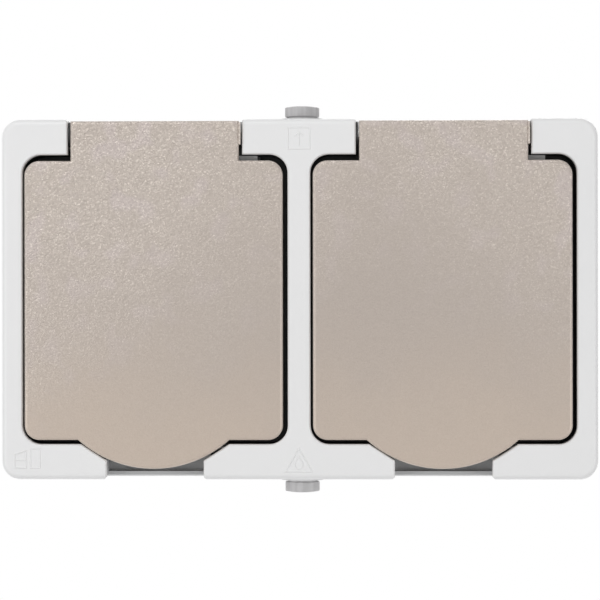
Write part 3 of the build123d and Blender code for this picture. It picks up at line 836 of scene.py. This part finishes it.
def flat_washer(name, place, outer, inner, thickness):
    """A flat washer with its axis along X, from its left face."""
    washer = begin(
        name, bpy.ops.mesh.primitive_circle_add, vertices=48, radius=outer, fill_type="NGON",
        location=place, rotation=(0, QUARTER_TURN, 0),
    )
    with shaping(washer):
        bpy.ops.mesh.select_all(action="SELECT")
        bpy.ops.mesh.inset(thickness=outer - inner, depth=0)
        bpy.ops.mesh.delete(type="FACE")
        bpy.ops.mesh.select_all(action="SELECT")
        bpy.ops.mesh.extrude_region_move(TRANSFORM_OT_translate={"value": (thickness, 0, 0)})
    modify(washer, "BEVEL", width=0.06 * MM, segments=2, limit_method="ANGLE")
    return washer


# The washers of a hinge pin: left face along the pin from the middle of the window, and thickness
WASHERS = {"left": (-22.03 * MM, 0.55 * MM), "right": (21.80 * MM, 0.22 * MM)}
WASHER_R = 3.2 * MM
WASHER_BORE_R = 1.3 * MM
# The knuckle beside a tongue: its size, and its middle from the hinge, the lid's front and the lid's top
KNUCKLE_SIZE = (0.56 * MM, 2.0 * MM, 5.7 * MM)
KNUCKLE_PLACE = Vector((21.40 * MM, 1.2 * MM, -3.15 * MM))


class OUTLET_OT_hinges(bpy.types.Operator):
    """Put the black washers on the hinge pins, dark pieces that stand in for the shade in the gap beside
    each tongue, and the knuckle beside each tongue
    """

    bl_idname = "outlet.hinges"
    bl_label = "Fit the hinge washers and knuckles"

    def execute(self, context):
        look = context.scene.outlet_rubber
        # Painted shade: black washers darken the gap beside each tongue, which lies in shade
        black = rubber("black_washer_plastic", look.seal_colour, 0.5)
        for side in SIDES:
            hinge = HINGES[side]
            low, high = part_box(f"{side}_lid")
            for name, (start, thickness) in WASHERS.items():
                place = hinge + Vector((start, 0, 0))
                washer = flat_washer(
                    f"{side}_lid_{name}_washer", place, WASHER_R, WASHER_BORE_R, thickness
                )
                settle(washer, "housing", 40.0)
                paint(washer, black)
            knuckle = begin(
                f"{side}_lid_knuckle", bpy.ops.mesh.primitive_cube_add, size=1,
                location=Vector((hinge.x, low.y, high.z)) + KNUCKLE_PLACE,
            )
            knuckle.scale = KNUCKLE_SIZE
            apply_place(knuckle, location=False)
            modify(knuckle, "BEVEL", width=0.22 * MM, segments=3)
            settle(knuckle, f"{side}_lid", 40.0)
            paint(knuckle, frame["nodes"][f"{side}_lid"].data.materials[0])
        return {"FINISHED"}


class OUTLET_OT_screws(bpy.types.Operator):
    """Turn the two cover screws beside each well, with crossed recesses in their heads"""

    bl_idname = "outlet.screws"
    bl_label = "Turn the cover screws"

    def execute(self, context):
        zinc = metal("zinc_screw_steel", context.scene.outlet_metals.zinc_colour, 0.30, 0.15 * MM)
        head_r, head_t, shank_r = 3.3 * MM, 2.2 * MM, 1.75 * MM
        for side in SIDES:
            node = f"{side}_cover_screws"
            low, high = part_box(node)
            seat = low.y + head_t
            length = high.y - seat
            for name, x, z in (
                ("upper", low.x + head_r, high.z - head_r), ("lower", high.x - head_r, low.z + head_r),
            ):
                screw = self.turn(f"{side}_{name}_cover_screw", head_r, head_t, shank_r, length)
                screw.rotation_euler = (QUARTER_TURN, 0, 0)
                screw.location = (x, seat, z)
                settle(screw, "housing", 30.0)
                paint(screw, zinc)
                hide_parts(node)
        return {"FINISHED"}

    def turn(self, name, head_r, head_t, shank_r, length):
        """One screw on an upright axis, its head above the origin, with a crossed recess."""
        rings = [
            (0.3 * shank_r, -length), (shank_r, -length + 1.2 * MM), (shank_r, 0.0), (head_r, 0.0),
            (head_r, 0.3 * head_t), (0.97 * head_r, 0.5 * head_t), (0.88 * head_r, 0.72 * head_t),
            (0.72 * head_r, 0.89 * head_t), (0.5 * head_r, 0.98 * head_t), (0.25 * head_r, head_t),
        ]
        screw = lathe(name, Vector(ORIGIN), rings, 48)
        apply_place(screw)
        slot_length, slot_width, slot_depth = 3.7 * MM, 0.85 * MM, 1.3 * MM
        for turn in (45, 135):
            cutter = begin(
                f"{name}_recess", bpy.ops.mesh.primitive_cube_add, size=1, location=(0, 0, head_t),
                rotation=(0, 0, math.radians(turn)),
            )
            cutter.scale = (slot_length, slot_width, 2 * slot_depth)
            with shaping(cutter):
                choose(cutter, "faces", lambda face: centre(face).z < -0.4)
                bpy.ops.transform.resize(value=(0.45, 0.75, 1))
            apply_place(cutter)
            modify(screw, "BOOLEAN", object=cutter, operation="DIFFERENCE", solver="EXACT")
            pick(cutter)
            bpy.ops.object.delete()
        return screw


def raised_plate(name, corners, look, hollow):
    """A flat raised sign on the frame from its corners (across, up), filled or only a line."""
    plate = begin(
        name, bpy.ops.mesh.primitive_circle_add, vertices=len(corners), radius=1 * MM, fill_type="NGON",
        location=ORIGIN,
    )
    for vertex, (x, z) in zip(plate.data.vertices, corners):
        vertex.co = (x, FRONT_Y, z)
    with shaping(plate):
        bpy.ops.mesh.select_all(action="SELECT")
        if hollow:
            bpy.ops.mesh.inset(thickness=look.line, depth=0)
            bpy.ops.mesh.delete(type="FACE")
            bpy.ops.mesh.select_all(action="SELECT")
        bpy.ops.mesh.normals_make_consistent(inside=False)
        bpy.ops.mesh.select_all(action="SELECT")
        bpy.ops.transform.translate(value=(0, look.relief, 0))
        bpy.ops.mesh.extrude_region_move(TRANSFORM_OT_translate={"value": (0, -2 * look.relief, 0)})
    modify(plate, "BEVEL", width=look.slope, segments=1, limit_method="ANGLE")
    return plate


class OUTLET_OT_signs(bpy.types.Operator):
    """Mould the faint signs on the frame: an arrow in a square, a drop in a triangle, a house and a door"""

    bl_idname = "outlet.signs"
    bl_label = "Mould the raised signs"

    def execute(self, context):
        look = context.scene.outlet_signs
        material = frame["nodes"]["front_frame"].data.materials[0]
        # Outlines and places are in mm, across and up
        top_place, foot_place, corner_place = (0.0, 40.5), (-0.1, -40.4), (-68.6, -40.2)
        half = look.size / MM / 2
        square = [(-half, -half), (half, -half), (half, half), (-half, half)]
        arrow = [
            (-0.22, -1.9), (0.22, -1.9), (0.22, 1.1), (1.0, 0.3), (1.28, 0.6), (0.0, 1.95), (-1.28, 0.6),
            (-1.0, 0.3), (-0.22, 1.1),
        ]
        triangle = [(-3.7, -3.2), (3.7, -3.2), (0.0, 3.4)]
        drop = [(0.0, 1.35)]
        drop_r, drop_z = 1.25, -1.2
        first, sweep, steps = 152.3, 235.4, 12
        for step in range(steps + 1):
            turn = math.radians(first + sweep * step / steps)
            drop.append((drop_r * math.cos(turn), drop_r * math.sin(turn) + drop_z))
        house = [(-3.3, -2.5), (-0.1, -2.5), (-0.1, 2.4), (-3.3, 1.3)]
        bar = [(-3.1, -0.5), (-0.3, -0.5), (-0.3, -0.1), (-3.1, -0.1)]
        door = [(0.6, -2.5), (3.4, -2.5), (3.4, 2.8), (0.6, 2.8)]
        for name, corners, place, hollow in (
            ("arrow_square_sign", square, top_place, True),
            ("arrow_sign", arrow, top_place, False),
            ("drop_triangle_sign", triangle, foot_place, True),
            ("drop_sign", drop, foot_place, True),
            ("house_sign", house, corner_place, True),
            ("house_bar_sign", bar, corner_place, False),
            ("house_door_sign", door, corner_place, True),
        ):
            x, z = place
            outline = [((x + dx) * MM, (z + dz) * MM) for dx, dz in corners]
            plate = raised_plate(name, outline, look, hollow)
            settle(plate, "housing", 30.0)
            paint(plate, material)
        return {"FINISHED"}


class OUTLET_OT_stage(bpy.types.Operator):
    """Set the floor, the world, the lamps and the camera"""

    bl_idname = "outlet.stage"
    bl_label = "Set the stage"

    def execute(self, context):
        look = context.scene.outlet_stage
        target = Vector((0.25 * MM, FRONT_Y, -0.2 * MM))
        self.world(context, look)
        self.floor(look)
        for name, place, size, power in (
            ("key_lamp", (-0.20, -0.50, 0.50), (0.35, 0.35), look.key_power),
            ("left_fill_lamp", (-0.80, -0.75, -0.12), (0.70, 0.28), look.fill_power),
            ("right_fill_lamp", (0.80, -0.75, -0.12), (0.70, 0.28), look.fill_power),
            ("back_lamp", (0.25, 0.85, 0.45), (0.50, 0.50), look.back_power),
        ):
            self.lamp(name, place, target, size, power)
        self.camera(context, look, target)
        context.scene.view_settings.view_transform = "Standard"
        return {"FINISHED"}

    def seen(self, finish):
        """1 for rays from the camera, and for reflected and refracted ones."""
        camera = finish.node("LightPath", output="Is Camera Ray")
        glossy = finish.node("LightPath", output="Is Glossy Ray")
        clear = finish.node("LightPath", output="Is Transmission Ray")
        return camera + glossy * (1 - camera) + clear

    def world(self, context, look):
        world = bpy.data.worlds.new("plain_studio")
        context.scene.world = world
        finish = Finish(world)
        tone = finish.blend(self.seen(finish), colour(WHITE, look.world_level), WHITE)
        finish.node("OutputWorld", {}, {"Surface": finish.node("Background", {}, {"Color": tone})})

    def floor(self, look):
        disc = begin(
            "studio_floor", bpy.ops.mesh.primitive_circle_add, vertices=96, radius=look.floor_radius,
            fill_type="NGON", location=(0, 0, cad_bounds[0].z - look.floor_drop),
        )
        apply_place(disc)
        finish = Finish(bpy.data.materials.new("pale_floor"))
        pale = finish.node("BsdfPrincipled", {}, {
            "Base Color": colour(WHITE, 0.8),
            "Roughness": 0.9,
            "Emission Color": finish.blend(self.seen(finish), BLACK, WHITE),
            "Emission Strength": look.floor_glow,
        })
        below = finish.node("NewGeometry", output="Backfacing")
        clear = finish.node("BsdfTransparent")
        shader = finish.node("MixShader", {}, {0: below, 1: pale, 2: clear})
        finish.node("OutputMaterial", {}, {"Surface": shader})
        paint(disc, finish.block)

    def lamp(self, name, place, target, size, power):
        bpy.ops.object.select_all(action="DESELECT")
        bpy.ops.object.light_add(type="AREA", location=place)
        lamp = bpy.context.active_object
        lamp.name = name
        lamp.data.shape = "RECTANGLE"
        lamp.data.size, lamp.data.size_y = size
        lamp.data.energy = power
        lamp.rotation_euler = (target - Vector(place)).to_track_quat("-Z", "Y").to_euler()

    def camera(self, context, look, target):
        away = Vector((math.sin(look.azimuth), -math.cos(look.azimuth), 0))
        bpy.ops.object.select_all(action="DESELECT")
        bpy.ops.object.camera_add(location=target + away * look.distance)
        camera = context.active_object
        camera.name = "photo_camera"
        turned = (-away).to_track_quat("-Z", "Y").to_euler()
        turned.rotate_axis("Z", look.roll)
        camera.rotation_euler = turned
        camera.data.sensor_width = SENSOR_WIDTH
        camera.data.lens = SENSOR_WIDTH * look.distance / look.view_width
        context.scene.camera = camera


class OUTLET_PT_panel(bpy.types.Panel):
    """Lists the operators in the order in which they are run"""

    bl_idname = "OUTLET_PT_panel"
    bl_label = "Two Gang Outlet"
    bl_space_type = "VIEW_3D"
    bl_region_type = "UI"
    bl_category = "Outlet"

    def draw(self, context):
        for operator in OPERATORS:
            self.layout.operator(operator.bl_idname)
        for name, group in LOOKS.items():
            box = self.layout.box()
            box.label(text=group.__doc__)
            for key in group.__annotations__:
                box.prop(getattr(context.scene, name), key)


LOOKS = {
    "outlet_shells": ShellLook,
    "outlet_signs": SignLook,
    "outlet_lids": LidLook,
    "outlet_metals": MetalLook,
    "outlet_springs": SpringLook,
    "outlet_rubber": RubberLook,
    "outlet_stage": StageLook,
}
OPERATORS = (
    OUTLET_OT_shells,
    OUTLET_OT_lids,
    OUTLET_OT_metals,
    OUTLET_OT_springs,
    OUTLET_OT_nipples,
    OUTLET_OT_seals,
    OUTLET_OT_hinges,
    OUTLET_OT_screws,
    OUTLET_OT_signs,
    OUTLET_OT_stage,
)


def register():
    for group in LOOKS.values():
        bpy.utils.register_class(group)
    for operator in OPERATORS:
        bpy.utils.register_class(operator)
    bpy.utils.register_class(OUTLET_PT_panel)
    for name, group in LOOKS.items():
        setattr(bpy.types.Scene, name, PointerProperty(type=group))


def unregister():
    for name in LOOKS:
        delattr(bpy.types.Scene, name)
    bpy.utils.unregister_class(OUTLET_PT_panel)
    for operator in reversed(OPERATORS):
        bpy.utils.unregister_class(operator)
    for group in reversed(list(LOOKS.values())):
        bpy.utils.unregister_class(group)


def main():
    register()
    bpy.ops.outlet.shells()
    bpy.ops.outlet.lids()
    bpy.ops.outlet.metals()
    bpy.ops.outlet.springs()
    bpy.ops.outlet.nipples()
    bpy.ops.outlet.seals()
    bpy.ops.outlet.hinges()
    bpy.ops.outlet.screws()
    bpy.ops.outlet.signs()
    bpy.ops.outlet.stage()


if __name__ == "__main__":
    main()
